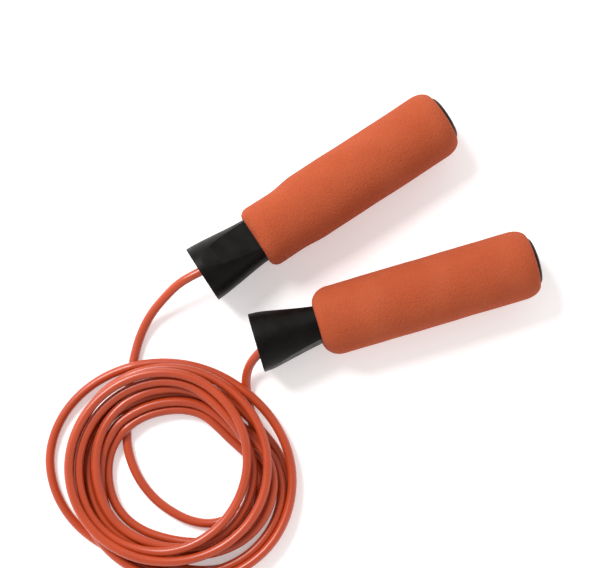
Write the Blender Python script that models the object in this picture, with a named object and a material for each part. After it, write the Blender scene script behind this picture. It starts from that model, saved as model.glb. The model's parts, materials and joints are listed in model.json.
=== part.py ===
"""Skipping rope: two foam-grip handles that turn on ball bearings, and one PVC cord laid in a coil.

Lengths are in metres. The two handles lie on Z = 0 with their box centred on the origin. Each handle
has its own axes: X runs along its axis from the middle of the mouth to the end cap, and its nose is
flatted on the sides that face its local +Z and -Z.
"""
import math

import bmesh
import bpy
from mathutils import Matrix, Vector

MM = 0.001

# Cord
CORD_RADIUS = 2.5 * MM

# Fits
GAP = 0.3 * MM               # between neighbours that seat on or in each other
THROAT_ROOM = 3.5 * MM       # between the cord and the throat that it turns in

# Ball bearing, a standard 8 x 22 x 7 with seven balls
BEARING_BORE_RADIUS = 4.0 * MM
BEARING_OUTER_RADIUS = 11.0 * MM
BEARING_WIDTH = 7.0 * MM
BALL_RADIUS = 1.984 * MM
BALL_COUNT = 7
SHOULDER_OFFSET = 1.55 * MM  # from the pitch circle to each race's shoulder
CAGE_THICKNESS = 1.1 * MM
CAGE_RAIL = 0.85 * MM        # left beside each pocket
BEARING_PITCH_RADIUS = (BEARING_BORE_RADIUS + BEARING_OUTER_RADIUS) / 2
POCKET_RADIUS = BALL_RADIUS + GAP

# Moulded core: flared nose, web that the bearing seats against, and tube that the foam fits over
CORE_WALL = 1.7 * MM
NOSE_LENGTH = 34.5 * MM
MOUTH_RADIUS = 16.25 * MM
MOUTH_LIP = 1.9 * MM
NOSE_STRAIGHT_SHARE = 0.45   # share of the nose's narrowing that is a straight cone
BELL_DEPTH = 22.0 * MM
BELL_BLEND = 3.3 * MM        # length over which the bell eases into the throat
BELL_BLEND_RISE = 0.6 * MM
FLAT_START = 5.0 * MM
FLAT_WALL = 2.8 * MM         # between the throat and a flat, at the neck
FLAT_CURVE = 1.2             # 1 would make the flats plane
FLAT_TUCK = 3.0 * MM         # how far the flats run on under the foam
SEAT_WEB = 2.5 * MM
CORE_BORE_RADIUS = BEARING_OUTER_RADIUS + GAP
CORE_RADIUS = CORE_BORE_RADIUS + CORE_WALL
THROAT_RADIUS = CORD_RADIUS + THROAT_ROOM
FLAT_NECK = THROAT_RADIUS + FLAT_WALL
FLAT_END = NOSE_LENGTH + FLAT_TUCK
SEAT_S = FLAT_END + SEAT_WEB
NECK_CORNER = math.asin(FLAT_NECK / CORE_RADIUS)

# Foam sleeve
GRIP_LENGTH = 121.2 * MM
FOAM_WALL = 5.85 * MM
FOAM_LIP = 0.6 * MM          # thickness left at the sleeve's two ends
FOAM_PINCH = 1.8 * MM        # how much the sleeve narrows beside the flats
PINCH_LENGTH = 34.5 * MM     # from the sleeve's nose end to where it is round
PINCH_FADE = 15.5 * MM       # the last part of that, over which it widens
NOSE_ROUNDING = 4.3 * MM
NOSE_ROUNDING_FLAT = 10.0 * MM
END_ROUNDING = 9.0 * MM
FOAM_BORE_RADIUS = CORE_RADIUS + GAP
FOAM_RADIUS = FOAM_BORE_RADIUS + FOAM_WALL
FOAM_END = NOSE_LENGTH + GRIP_LENGTH

# Pieces behind the bearing
BUSH_FRONT = 1.0 * MM        # how far the bush stands out of the bearing, into the throat
FLANGE_LENGTH = 1.5 * MM
FLANGE_OVERLAP = 1.4 * MM    # how far the flange and the washer reach out over the inner race
RETAINER_LENGTH = 8.0 * MM
RETAINER_WALL = 1.8 * MM
WASHER_LENGTH = 1.2 * MM
STOP_LENGTH = 8.0 * MM
STOP_WALL = 1.7 * MM
CORD_INSET = 0.5 * MM        # from the cord's cut end to the stop's end
CORD_BORE_RADIUS = CORD_RADIUS + GAP

# End cap
CAP_SEAT_DEPTH = 1.0 * MM    # from the foam's end to the core's end
CAP_RIM = 0.6 * MM
CAP_DOME = 2.2 * MM
CAP_FLAT_RADIUS = 6.0 * MM
CAP_STEM_LENGTH = 14.0 * MM
CAP_WALL = 1.5 * MM
CORE_END = FOAM_END - CAP_SEAT_DEPTH

# Places along a handle's axis, measured from its mouth
BEARING_S = SEAT_S + GAP
BEARING_END = BEARING_S + BEARING_WIDTH
FLANGE_S = BEARING_END + GAP
WASHER_S = FLANGE_S + FLANGE_LENGTH + GAP
STOP_S = WASHER_S + WASHER_LENGTH + GAP
CORD_END_S = STOP_S + STOP_LENGTH - CORD_INSET
CAP_S = CORE_END + GAP

# How the two handles lie: middle of the mouth, heading from mouth to cap, and roll about the axis
HANDLES = {
    "a": {"mouth": (-87.4 * MM, -23.2 * MM), "heading": math.radians(33.1), "roll": math.radians(-16.0)},
    "b": {"mouth": (-58.2 * MM, -60.1 * MM), "heading": math.radians(16.5), "roll": math.radians(84.0)},
}

# How the cord lies: points past each mouth, then the stretch of it that crosses the coil's hole
CORD_ROUTES = {
    "a": [(-99.0, -26.4, 16.4), (-109.3, -35.1, 11.2), (-117.2, -44.8, 6.2), (-122.6, -56.2, 3.2),
          (-125.0, -67.6, 2.6)],
    "b": [(-58.0, -66.6, 14.6), (-62.3, -72.4, 9.0), (-64.2, -80.2, 4.2)],
}
MOUTH_POINTS = {"a": (-89.3, -21.9, 18.6), "b": (-54.8, -63.6, 18.0)}
CROSSING_ROUTE = [(-129.6, -114.2, 2.6), (-123.6, -129.9, 2.6), (-113.7, -143.4, 2.6), (-103.8, -151.0, 2.6),
                  (-94.5, -155.6, 2.6), (-87.8, -157.6, 2.6)]
TUBE_SPACING = 11.0 * MM

# The coil's outline from above
COIL_CENTRE = (-104.1 * MM, -126.7 * MM)
COIL_HALF_WIDTH = 69.2 * MM
COIL_HALF_DEPTH = 57.7 * MM
HOLE_CENTRE = (-102.2 * MM, -131.3 * MM)
HOLE_HALF_WIDTH = 35.3 * MM
HOLE_HALF_DEPTH = 33.0 * MM
COIL_TURN = math.radians(-16.6)
COIL_HEIGHT = 14.0 * MM
COIL_ROUNDING = 4.0 * MM

# Facets
ARC_STEPS = 10               # columns of a section on each side of the flats
FLAT_STEPS = 8               # columns across each flat
MOUTH_CORNER = math.radians(70.0)
NOSE_STEPS = 6
ROUNDING_STEPS = 4
PINCH_STEPS = 3
DOME_STEPS = 3
GROOVE_STEPS = 4
CAP_SEGMENTS = 36
CAGE_SEGMENTS = 28
POCKET_SEGMENTS = 12
RING_SEGMENTS = 24
BALL_SEGMENTS = 10
BALL_RINGS = 6
COIL_SEGMENTS = 44
SHARP_ANGLE = math.radians(35.0)

# Colours are linear; the last two values are metallic and roughness
MATERIALS = {
    "orange_foam": ((0.50, 0.085, 0.035), 0.0, 0.9),
    "orange_cord": ((0.52, 0.07, 0.035), 0.0, 0.35),
    "black_plastic": ((0.012, 0.010, 0.010), 0.0, 0.45),
    "grey_plastic": ((0.10, 0.10, 0.105), 0.0, 0.5),
    "white_plastic": ((0.75, 0.74, 0.70), 0.0, 0.4),
    "bearing_steel": ((0.60, 0.60, 0.60), 1.0, 0.25),
    "zinc_steel": ((0.50, 0.51, 0.52), 1.0, 0.4),
}


def material(name):
    """Return the named material, making it on first use."""
    found = bpy.data.materials.get(name)
    if found:
        return found
    colour, metallic, roughness = MATERIALS[name]
    made = bpy.data.materials.new(name)
    made.use_nodes = True
    shader = made.node_tree.nodes["Principled BSDF"]
    shader.inputs["Base Color"].default_value = (*colour, 1.0)
    shader.inputs["Metallic"].default_value = metallic
    shader.inputs["Roughness"].default_value = roughness
    return made


def add_object(name, data, material_name, parent):
    """Link an object to the scene under its parent, with its material."""
    made = bpy.data.objects.new(name, data)
    made.parent = parent
    bpy.context.scene.collection.objects.link(made)
    if not data.materials:
        data.materials.append(material(material_name))
    return made


def finish_mesh(name, bm):
    """Turn a bmesh into a smooth-shaded mesh with crisp edges."""
    bmesh.ops.remove_doubles(bm, verts=bm.verts, dist=GAP / 1000)
    bmesh.ops.recalc_face_normals(bm, faces=bm.faces)
    mesh = bpy.data.meshes.new(name)
    bm.to_mesh(mesh)
    bm.free()
    mesh.shade_smooth()
    mesh.set_sharp_from_angle(angle=SHARP_ANGLE)
    return mesh


def skin(name, rings, closed):
    """Skin a mesh over rings with equally many points; closed joins the last ring to the first."""
    bm = bmesh.new()
    rows = [[bm.verts.new(point) for point in ring] for ring in rings]
    pairs = list(zip(rows, rows[1:]))
    if closed:
        pairs.append((rows[-1], rows[0]))
    for row, following in pairs:
        for index in range(len(row)):
            after = (index + 1) % len(row)
            bm.faces.new((row[index], row[after], following[after], following[index]))
    return finish_mesh(name, bm)


def turned(name, profile, closed=True, segments=RING_SEGMENTS):
    """Skin a profile of (place along X, radius) points turned about X."""
    angles = [math.tau * index / segments for index in range(segments)]
    rings = [[(s, r * math.cos(a), r * math.sin(a)) for a in angles] for s, r in profile]
    return skin(name, rings, closed)


def section(radius, flat=None, corner=NECK_CORNER):
    """Points (y, z) of a circle, cut at z = +flat and -flat where a flat is given.

    Without a flat, corner is the angle at which the columns change from sides to top.
    """
    if flat is not None:
        corner = math.asin(min(1.0, flat / radius))
    half = []
    for step in range(ARC_STEPS):
        angle = -corner + 2 * corner * step / ARC_STEPS
        half.append((radius * math.cos(angle), radius * math.sin(angle)))
    for step in range(FLAT_STEPS):
        if flat is None:
            angle = corner + (math.pi - 2 * corner) * step / FLAT_STEPS
            half.append((radius * math.cos(angle), radius * math.sin(angle)))
        else:
            half.append((radius * math.cos(corner) * (1 - 2 * step / FLAT_STEPS), flat))
    return half + [(-y, -z) for y, z in half]


def nose_radius(s):
    """Outer radius of the nose, which narrows from the mouth to the neck in a slow S."""
    share = s / NOSE_LENGTH
    ease = share * share * (3 - 2 * share)
    narrowing = NOSE_STRAIGHT_SHARE * share + (1 - NOSE_STRAIGHT_SHARE) * ease
    return MOUTH_RADIUS - (MOUTH_RADIUS - CORE_RADIUS) * narrowing


def flat_height(s):
    """Distance of a flat from the axis, from where it meets the round nose to the neck."""
    share = min(1.0, (s - FLAT_START) / (NOSE_LENGTH - FLAT_START))
    start = nose_radius(FLAT_START)
    return FLAT_NECK + (start - FLAT_NECK) * (1 - share) ** FLAT_CURVE


def core_mesh():
    """One moulding: nose with flats outside and bell inside, throat, bearing seat and grip tube."""
    rim = MOUTH_LIP / 4
    rounds = [(0.0, MOUTH_RADIUS - rim), (rim, MOUTH_RADIUS), (FLAT_START, nose_radius(FLAT_START))]
    rings = [[(s, y, z) for y, z in section(radius, corner=MOUTH_CORNER)] for s, radius in rounds]
    for step in range(1, NOSE_STEPS + 1):
        s = FLAT_START + (NOSE_LENGTH - FLAT_START) * step / NOSE_STEPS
        rings.append([(s, y, z) for y, z in section(nose_radius(s), flat_height(s))])
    rings.append([(FLAT_END, y, z) for y, z in section(CORE_RADIUS, FLAT_NECK)])
    tube = [
        (FLAT_END, CORE_RADIUS), (CORE_END, CORE_RADIUS), (CORE_END, CORE_BORE_RADIUS),
        (SEAT_S, CORE_BORE_RADIUS), (SEAT_S, THROAT_RADIUS), (BELL_DEPTH, THROAT_RADIUS),
        (BELL_DEPTH - BELL_BLEND, THROAT_RADIUS + BELL_BLEND_RISE),
    ]
    rings += [[(s, y, z) for y, z in section(radius)] for s, radius in tube]
    mouth = [(rim, MOUTH_RADIUS - MOUTH_LIP), (0.0, MOUTH_RADIUS - MOUTH_LIP + rim)]
    rings += [[(s, y, z) for y, z in section(radius, corner=MOUTH_CORNER)] for s, radius in mouth]
    return skin("handle_core", rings, closed=True)


def foam_mesh():
    """Sleeve that hugs the neck's flats, is pinched beside them and is round over the rest."""
    columns = section(1.0)
    mouth_section = section(FOAM_BORE_RADIUS + FOAM_LIP, FLAT_NECK + GAP + FOAM_LIP)
    rings = []
    for step in range(ROUNDING_STEPS + 1):
        turn = math.radians(90 * step / ROUNDING_STEPS)
        ring = []
        for (y, z), (y_end, z_end) in zip(columns, mouth_section):
            rounding = NOSE_ROUNDING + (NOSE_ROUNDING_FLAT - NOSE_ROUNDING) * z * z
            y_full = y * (FOAM_RADIUS - FOAM_PINCH)
            z_full = z * FOAM_RADIUS
            ring.append((NOSE_LENGTH + rounding * (1 - math.cos(turn)),
                         y_end + (y_full - y_end) * math.sin(turn),
                         z_end + (z_full - z_end) * math.sin(turn)))
        rings.append(ring)
    for step in range(PINCH_STEPS + 1):
        pinch = FOAM_PINCH * (0.5 + 0.5 * math.cos(math.pi * step / PINCH_STEPS))
        s = NOSE_LENGTH + PINCH_LENGTH - PINCH_FADE * (1 - step / PINCH_STEPS)
        rings.append([(s, y * (FOAM_RADIUS - pinch), z * FOAM_RADIUS) for y, z in columns])
    end_radius = FOAM_BORE_RADIUS + FOAM_LIP
    for step in range(ROUNDING_STEPS + 1):
        turn = math.radians(90 * step / ROUNDING_STEPS)
        s = FOAM_END - END_ROUNDING * (1 - math.sin(turn))
        radius = end_radius + (FOAM_RADIUS - end_radius) * math.cos(turn)
        rings.append([(s, y * radius, z * radius) for y, z in columns])
    step_corner = math.asin((FLAT_NECK + GAP) / FOAM_BORE_RADIUS)
    for s in (FOAM_END, FLAT_END - GAP):
        rings.append([(s, y, z) for y, z in section(FOAM_BORE_RADIUS, corner=step_corner)])
    for s in (FLAT_END - GAP, NOSE_LENGTH):
        rings.append([(s, y, z) for y, z in section(FOAM_BORE_RADIUS, FLAT_NECK + GAP)])
    return skin("foam_grip", rings, closed=True)


def cap_mesh():
    """Low domed head over a hollow stem that plugs the core's tube."""
    stem_radius = CORE_BORE_RADIUS - GAP
    profile = [(CAP_S + CAP_RIM + CAP_DOME, 0.0)]
    for step in range(DOME_STEPS + 1):
        turn = math.radians(90 * (1 - step / DOME_STEPS))
        radius = CAP_FLAT_RADIUS + (CORE_RADIUS - CAP_FLAT_RADIUS) * math.cos(turn)
        profile.append((CAP_S + CAP_RIM + CAP_DOME * math.sin(turn), radius))
    profile += [
        (CAP_S, CORE_RADIUS), (CAP_S, stem_radius), (CAP_S - CAP_STEM_LENGTH, stem_radius),
        (CAP_S - CAP_STEM_LENGTH, stem_radius - CAP_WALL), (CAP_S, stem_radius - CAP_WALL), (CAP_S, 0.0),
    ]
    return turned("end_cap", profile, closed=False, segments=CAP_SEGMENTS)


def race_mesh(name, outer):
    """One bearing race with its ball groove, as a closed ring."""
    side = 1 if outer else -1
    shoulder = BEARING_PITCH_RADIUS + side * SHOULDER_OFFSET
    back = BEARING_OUTER_RADIUS if outer else BEARING_BORE_RADIUS
    middle = BEARING_S + BEARING_WIDTH / 2
    edge = math.acos(SHOULDER_OFFSET / POCKET_RADIUS)
    profile = [(BEARING_S, shoulder)]
    for step in range(GROOVE_STEPS + 1):
        turn = edge * (2 * step / GROOVE_STEPS - 1)
        profile.append((middle + POCKET_RADIUS * math.sin(turn),
                        BEARING_PITCH_RADIUS + side * POCKET_RADIUS * math.cos(turn)))
    profile += [(BEARING_END, shoulder), (BEARING_END, back), (BEARING_S, back)]
    return turned(name, profile)


def cage_mesh():
    """Plain ring at the pitch circle, which the pockets are cut from."""
    half = POCKET_RADIUS + CAGE_RAIL
    middle = BEARING_S + BEARING_WIDTH / 2
    inner = BEARING_PITCH_RADIUS - CAGE_THICKNESS / 2
    outer = BEARING_PITCH_RADIUS + CAGE_THICKNESS / 2
    return turned("bearing_cage", [(middle - half, inner), (middle - half, outer),
                                   (middle + half, outer), (middle + half, inner)],
                  segments=CAGE_SEGMENTS)


def pocket_mesh():
    """Seven round pegs in a star, one through each pocket of the cage."""
    bm = bmesh.new()
    for index in range(BALL_COUNT):
        place = Matrix.Rotation(math.tau * index / BALL_COUNT, 4, "X")
        place = place @ Matrix.Translation(ball_place(0))
        bmesh.ops.create_cone(bm, cap_ends=True, segments=POCKET_SEGMENTS, radius1=POCKET_RADIUS,
                              radius2=POCKET_RADIUS, depth=4 * CAGE_THICKNESS, matrix=place)
    mesh = bpy.data.meshes.new("cage_pockets")
    bm.to_mesh(mesh)
    bm.free()
    return mesh


def ball_place(index):
    """Centre of one ball in its handle's axes."""
    angle = math.tau * index / BALL_COUNT
    middle = BEARING_S + BEARING_WIDTH / 2
    return Vector((middle, -BEARING_PITCH_RADIUS * math.sin(angle), BEARING_PITCH_RADIUS * math.cos(angle)))


def ball_mesh():
    """One bearing ball."""
    bm = bmesh.new()
    bmesh.ops.create_uvsphere(bm, u_segments=BALL_SEGMENTS, v_segments=BALL_RINGS, radius=BALL_RADIUS)
    return finish_mesh("bearing_ball", bm)


def retainer_mesh():
    """Sleeve that holds the outer race against the web."""
    outer = CORE_BORE_RADIUS - GAP
    start = BEARING_END + GAP
    end = start + RETAINER_LENGTH
    inner = outer - RETAINER_WALL
    return turned("bearing_retainer", [(start, inner), (start, outer), (end, outer), (end, inner)])


def bush_mesh():
    """Flanged bush that carries the cord through the inner race."""
    tube = BEARING_BORE_RADIUS - GAP
    flange = BEARING_BORE_RADIUS + FLANGE_OVERLAP
    front = BEARING_S - BUSH_FRONT
    back = FLANGE_S + FLANGE_LENGTH
    return turned("rotor_bush", [(front, CORD_BORE_RADIUS), (front, tube), (FLANGE_S, tube),
                                 (FLANGE_S, flange), (back, flange), (back, CORD_BORE_RADIUS)])


def ring_mesh(name, start, length, outer):
    """Square-edged ring with the cord's bore."""
    end = start + length
    return turned(name, [(start, CORD_BORE_RADIUS), (start, outer), (end, outer), (end, CORD_BORE_RADIUS)])


def smooth_route(points, spacing):
    """Points about one spacing apart on a smooth curve through the given points."""
    padded = [2 * points[0] - points[1]] + points + [2 * points[-1] - points[-2]]
    route = []
    for before, start, end, after in zip(padded, padded[1:], padded[2:], padded[3:]):
        steps = max(1, round((end - start).length / spacing))
        for step in range(steps):
            t = step / steps
            route.append(0.5 * (2 * start + (end - before) * t
                                + (2 * before - 5 * start + 4 * end - after) * t ** 2
                                + (3 * start - before - 3 * end + after) * t ** 3))
    return route + [points[-1]]


def add_tube(name, points, parent):
    """Plain tube of the cord's thickness along a route, with filled ends."""
    curve = bpy.data.curves.new(name, "CURVE")
    curve.dimensions = "3D"
    curve.bevel_depth = CORD_RADIUS
    curve.bevel_resolution = 2
    curve.render_resolution_u = 0
    curve.use_fill_caps = True
    route = smooth_route(points, TUBE_SPACING)
    spline = curve.splines.new("POLY")
    spline.points.add(len(route) - 1)
    for point, place in zip(spline.points, route):
        point.co = (*place, 1.0)
    return add_object(name, curve, "orange_cord", parent)


def oval_point(centre, half_width, half_depth, angle):
    """Point of an oval that is turned by COIL_TURN."""
    point = Vector((half_width * math.cos(angle), half_depth * math.sin(angle)))
    point.rotate(Matrix.Rotation(COIL_TURN, 2))
    return Vector(centre) + point


def coil_mesh():
    """Closed ring of the coil's outer shape, flat where it lies on the floor."""
    rings = []
    for index in range(COIL_SEGMENTS):
        angle = math.tau * index / COIL_SEGMENTS
        outer = oval_point(COIL_CENTRE, COIL_HALF_WIDTH, COIL_HALF_DEPTH, angle)
        inner = oval_point(HOLE_CENTRE, HOLE_HALF_WIDTH, HOLE_HALF_DEPTH, angle)
        across = (outer - inner).normalized() * COIL_ROUNDING
        low, high = COIL_ROUNDING / 2, COIL_HEIGHT - COIL_ROUNDING
        rings.append([
            (*(inner + across / 2), 0.0), (*(outer - across / 2), 0.0), (*outer, low), (*outer, high),
            (*(outer - across), COIL_HEIGHT), (*(inner + across), COIL_HEIGHT), (*inner, high), (*inner, low),
        ])
    return skin("cord_coil", rings, closed=True)


def add_empty(name, parent=None):
    """Add an empty to hang pieces on."""
    made = bpy.data.objects.new(name, None)
    made.parent = parent
    bpy.context.scene.collection.objects.link(made)
    return made


def handle_matrix(side):
    """Place of a handle's own axes in the layout."""
    lie = HANDLES[side]
    turn = Matrix.Rotation(lie["heading"], 4, "Z") @ Matrix.Rotation(lie["roll"], 4, "X")
    return Matrix.Translation((*lie["mouth"], FOAM_RADIUS)) @ turn


def build_cage(side, mesh, pockets, axis):
    """Cage with its pockets cut by a Boolean."""
    cutter = add_object(f"cage_pockets_{side}", pockets, "white_plastic", axis)
    cutter.hide_render = True
    cutter.display_type = "WIRE"
    cage = add_object(f"bearing_cage_{side}", mesh, "white_plastic", axis)
    cut = cage.modifiers.new("pockets", "BOOLEAN")
    cut.operation = "DIFFERENCE"
    cut.solver = "EXACT"
    cut.object = cutter


def build_handle(side, meshes, layout):
    """Add one handle's pieces on an empty that lies on its axis, and return those that show."""
    axis = add_empty(f"handle_axis_{side}", layout)
    axis.matrix_local = handle_matrix(side)
    for name, material_name in (
            ("bearing_outer_race", "bearing_steel"), ("bearing_inner_race", "bearing_steel"),
            ("bearing_retainer", "grey_plastic"), ("rotor_bush", "grey_plastic"),
            ("thrust_washer", "zinc_steel"), ("cord_stop", "zinc_steel")):
        add_object(f"{name}_{side}", meshes[name], material_name, axis)
    build_cage(side, meshes["bearing_cage"], meshes["cage_pockets"], axis)
    for index in range(BALL_COUNT):
        ball = add_object(f"bearing_ball_{side}_{index + 1}", meshes["bearing_ball"], "bearing_steel", axis)
        ball.location = ball_place(index)
    return [add_object(f"handle_core_{side}", meshes["handle_core"], "black_plastic", axis),
            add_object(f"foam_grip_{side}", meshes["foam_grip"], "orange_foam", axis),
            add_object(f"end_cap_{side}", meshes["end_cap"], "black_plastic", axis)]


def build_lead(side, layout):
    """Cord from its stop inside one handle out to the coil."""
    place = handle_matrix(side)
    inside = [place @ Vector((s, 0.0, 0.0))
              for s in (CORD_END_S, FLANGE_S, SEAT_S - BUSH_FRONT - THROAT_ROOM, BELL_DEPTH, BELL_DEPTH / 2)]
    outside = [Vector(point) * MM for point in [MOUTH_POINTS[side]] + CORD_ROUTES[side]]
    add_tube(f"cord_lead_{side}", inside + outside, layout)


def centre_on(layout, pieces):
    """Move the layout so that the pieces' box stands centred on the origin."""
    bpy.context.view_layer.update()
    corners = [piece.matrix_world @ vertex.co for piece in pieces for vertex in piece.data.vertices]
    lowest = Vector(map(min, zip(*corners)))
    highest = Vector(map(max, zip(*corners)))
    layout.location = (-(lowest.x + highest.x) / 2, -(lowest.y + highest.y) / 2, 0.0)


def build():
    """Build the whole skipping rope."""
    for old in list(bpy.data.objects):
        bpy.data.objects.remove(old, do_unlink=True)
    flange = BEARING_BORE_RADIUS + FLANGE_OVERLAP
    meshes = {
        "handle_core": core_mesh(), "foam_grip": foam_mesh(), "end_cap": cap_mesh(),
        "bearing_outer_race": race_mesh("bearing_outer_race", outer=True),
        "bearing_inner_race": race_mesh("bearing_inner_race", outer=False),
        "bearing_cage": cage_mesh(), "cage_pockets": pocket_mesh(), "bearing_ball": ball_mesh(),
        "bearing_retainer": retainer_mesh(), "rotor_bush": bush_mesh(),
        "thrust_washer": ring_mesh("thrust_washer", WASHER_S, WASHER_LENGTH, flange),
        "cord_stop": ring_mesh("cord_stop", STOP_S, STOP_LENGTH, CORD_BORE_RADIUS + STOP_WALL),
    }
    layout = add_empty("layout")
    outer_pieces = []
    for side in HANDLES:
        outer_pieces += build_handle(side, meshes, layout)
        build_lead(side, layout)
    add_object("cord_coil", coil_mesh(), "orange_cord", layout)
    add_tube("cord_crossing", [Vector(point) * MM for point in CROSSING_ROUTE], layout)
    centre_on(layout, outer_pieces)


build()
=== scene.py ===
"""Looks of a skipping rope: foam grips, moulded noses, end caps and one long PVC cord laid in a coil."""
import json
import math

import bpy
import numpy as np
from mathutils import Matrix, Vector, noise


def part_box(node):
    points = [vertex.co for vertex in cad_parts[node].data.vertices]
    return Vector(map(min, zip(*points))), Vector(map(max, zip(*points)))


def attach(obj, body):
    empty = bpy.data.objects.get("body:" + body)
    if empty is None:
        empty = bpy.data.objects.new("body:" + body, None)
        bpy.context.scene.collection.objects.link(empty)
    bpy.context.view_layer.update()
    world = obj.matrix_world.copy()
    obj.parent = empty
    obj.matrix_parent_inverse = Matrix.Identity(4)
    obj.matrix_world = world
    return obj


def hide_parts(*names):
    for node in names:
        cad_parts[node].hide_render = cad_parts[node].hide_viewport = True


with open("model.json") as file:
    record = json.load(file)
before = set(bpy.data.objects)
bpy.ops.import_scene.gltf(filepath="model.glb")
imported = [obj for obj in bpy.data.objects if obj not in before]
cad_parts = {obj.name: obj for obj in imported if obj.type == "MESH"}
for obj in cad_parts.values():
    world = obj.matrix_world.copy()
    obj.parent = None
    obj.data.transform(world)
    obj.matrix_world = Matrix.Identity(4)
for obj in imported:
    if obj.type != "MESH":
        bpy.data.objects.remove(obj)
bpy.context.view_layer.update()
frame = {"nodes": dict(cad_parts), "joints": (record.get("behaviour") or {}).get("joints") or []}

bl_info = {
    "name": "Skipping Rope",
    "version": (1, 0, 0),
    "blender": (4, 5, 0),
    "location": "3D View > Sidebar > Skipping Rope",
    "description": "Models a skipping rope's foam grips, noses, caps and coiled cord, and its stage",
    "category": "Add Mesh",
}

MM = 0.001

# ---------------------------------------------------------------------------------------------------
# Places along a handle's axis, measured from the middle of its mouth
# ---------------------------------------------------------------------------------------------------
BEARING_MIDDLE = 43.8 * MM
NOSE_LENGTH = 34.5 * MM
FLAT_END = 37.5 * MM
SEAT_PLACE = 40.0 * MM
CORD_END = 58.4 * MM
CORD_STRAIGHT = (CORD_END, 44.0 * MM, 34.0 * MM, 20.0 * MM)
FOAM_END = 155.7 * MM
CORE_END = 154.7 * MM
CAP_PLACE = 155.0 * MM

# Radii
THROAT_RADIUS = 6.0 * MM
CORE_BORE_RADIUS = 11.3 * MM
CORE_RADIUS = 13.0 * MM
GAP = 0.3 * MM
ROLLS = {"a": math.radians(-16.0), "b": math.radians(84.0)}
SIDES = ("a", "b")

# Real sizes of the surfaces' patterns
DIE_LINE = 0.5 * MM
DIE_LINE_RUN = 60.0 * MM
PVC_CLOUD = 25.0 * MM
FOAM_CELL = 0.95 * MM
FOAM_PEBBLE = 1.3 * MM
FOAM_CLOUD = 22.0 * MM
FOAM_DUST = "C9714F"
ABS_GRAIN = 0.3 * MM
ABS_HANDLING = 7.0 * MM
CLOUD_GRAINS = 20            # a moulded plastic's clouds are this many grains of its skin wide


# ---------------------------------------------------------------------------------------------------
# Sizes and colours that a user would change
# ---------------------------------------------------------------------------------------------------
def linear(code):
    """Turn an sRGB hex colour into linear red, green and blue."""
    channels = [int(code[place:place + 2], 16) / 255 for place in (0, 2, 4)]
    return tuple(c / 12.92 if c <= 0.04045 else ((c + 0.055) / 1.055) ** 2.4 for c in channels)


def colour_setting(label, about, code):
    """One colour that a user can pick, with its default as hex."""
    return bpy.props.FloatVectorProperty(
        name=label, description=about, default=linear(code), size=3, subtype="COLOR", min=0.0, max=1.0)


def length_setting(label, about, default):
    """One length that a user can change."""
    return bpy.props.FloatProperty(
        name=label, description=about, default=default, min=0.0, precision=4,
        subtype="DISTANCE", unit="LENGTH")


class CordSettings(bpy.types.PropertyGroup):
    """The cord's size and colour."""
    diameter: length_setting("Diameter", "Outside diameter of the extruded cord", 5.0 * MM)
    colour: colour_setting("Colour", "Colour of the PVC", "AE3F1B")


class GripSettings(bpy.types.PropertyGroup):
    """The foam sleeves' shape and colour."""
    pinch: length_setting("Pinch", "How much the sleeve narrows beside the nose's flats", 1.8 * MM)
    end_rounding: length_setting("End rounding", "Fillet at the cap's end", 9.0 * MM)
    colour: colour_setting("Colour", "Colour of the foam", "A64A2A")


class NoseSettings(bpy.types.PropertyGroup):
    """The moulded nose's shape and colour."""
    mouth_radius: length_setting("Mouth radius", "Outside radius of the flared mouth", 16.25 * MM)
    flat_radius: length_setting("Flat radius", "Hollow radius of the two flats", 320.0 * MM)
    colour: colour_setting("Colour", "Colour of the black plastic", "0C0908")


class StageSettings(bpy.types.PropertyGroup):
    """The floor and the lights."""
    floor: colour_setting("Floor", "Colour of the floor", "F8F6F6")
    key_power: bpy.props.FloatProperty(
        name="Key light", description="Power of the large light", default=20.8, min=0.0, unit="POWER")
    floor_glow: bpy.props.FloatProperty(
        name="Floor glow", description="Light of the lit table itself", default=0.31, min=0.0)
    wall_light: bpy.props.FloatProperty(
        name="Walls", description="Brightness of the room at the height of the floor", default=1.3, min=0.0)
    ceiling_light: bpy.props.FloatProperty(
        name="Ceiling", description="Brightness of the room overhead", default=0.45, min=0.0)


class RopeSettings(bpy.types.PropertyGroup):
    """Everything that can be changed on the rope."""
    cord: bpy.props.PointerProperty(type=CordSettings, name="Cord", description="The cord")
    grip: bpy.props.PointerProperty(type=GripSettings, name="Grips", description="The foam sleeves")
    nose: bpy.props.PointerProperty(type=NoseSettings, name="Noses", description="The moulded noses")
    stage: bpy.props.PointerProperty(type=StageSettings, name="Stage", description="Floor and lights")


# ---------------------------------------------------------------------------------------------------
# Places
# ---------------------------------------------------------------------------------------------------
def handle_matrix(side):
    """A handle's own axes: X from its mouth to its cap, and its flats facing +Z and -Z."""
    joint = next(j for j in frame["joints"] if j["name"] == f"handle_{side}_spin")
    axis = Vector(joint["axis"]).normalized()
    mouth = Vector(joint["pos_m"]) - BEARING_MIDDLE * axis
    heading = math.atan2(axis.y, axis.x)
    return Matrix.Translation(mouth) @ Matrix.Rotation(heading, 4, "Z") @ Matrix.Rotation(ROLLS[side], 4, "X")


# ---------------------------------------------------------------------------------------------------
# Materials
# ---------------------------------------------------------------------------------------------------
def add_node(tree, kind, settings=None, inputs=None):
    """Add a node with its settings; an input is a value, or a socket to link from."""
    made = tree.nodes.new(kind)
    for name, value in (settings or {}).items():
        setattr(made, name, value)
    for name, value in (inputs or {}).items():
        if isinstance(value, bpy.types.NodeSocket):
            tree.links.new(value, made.inputs[name])
        else:
            made.inputs[name].default_value = value
    return made


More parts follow.
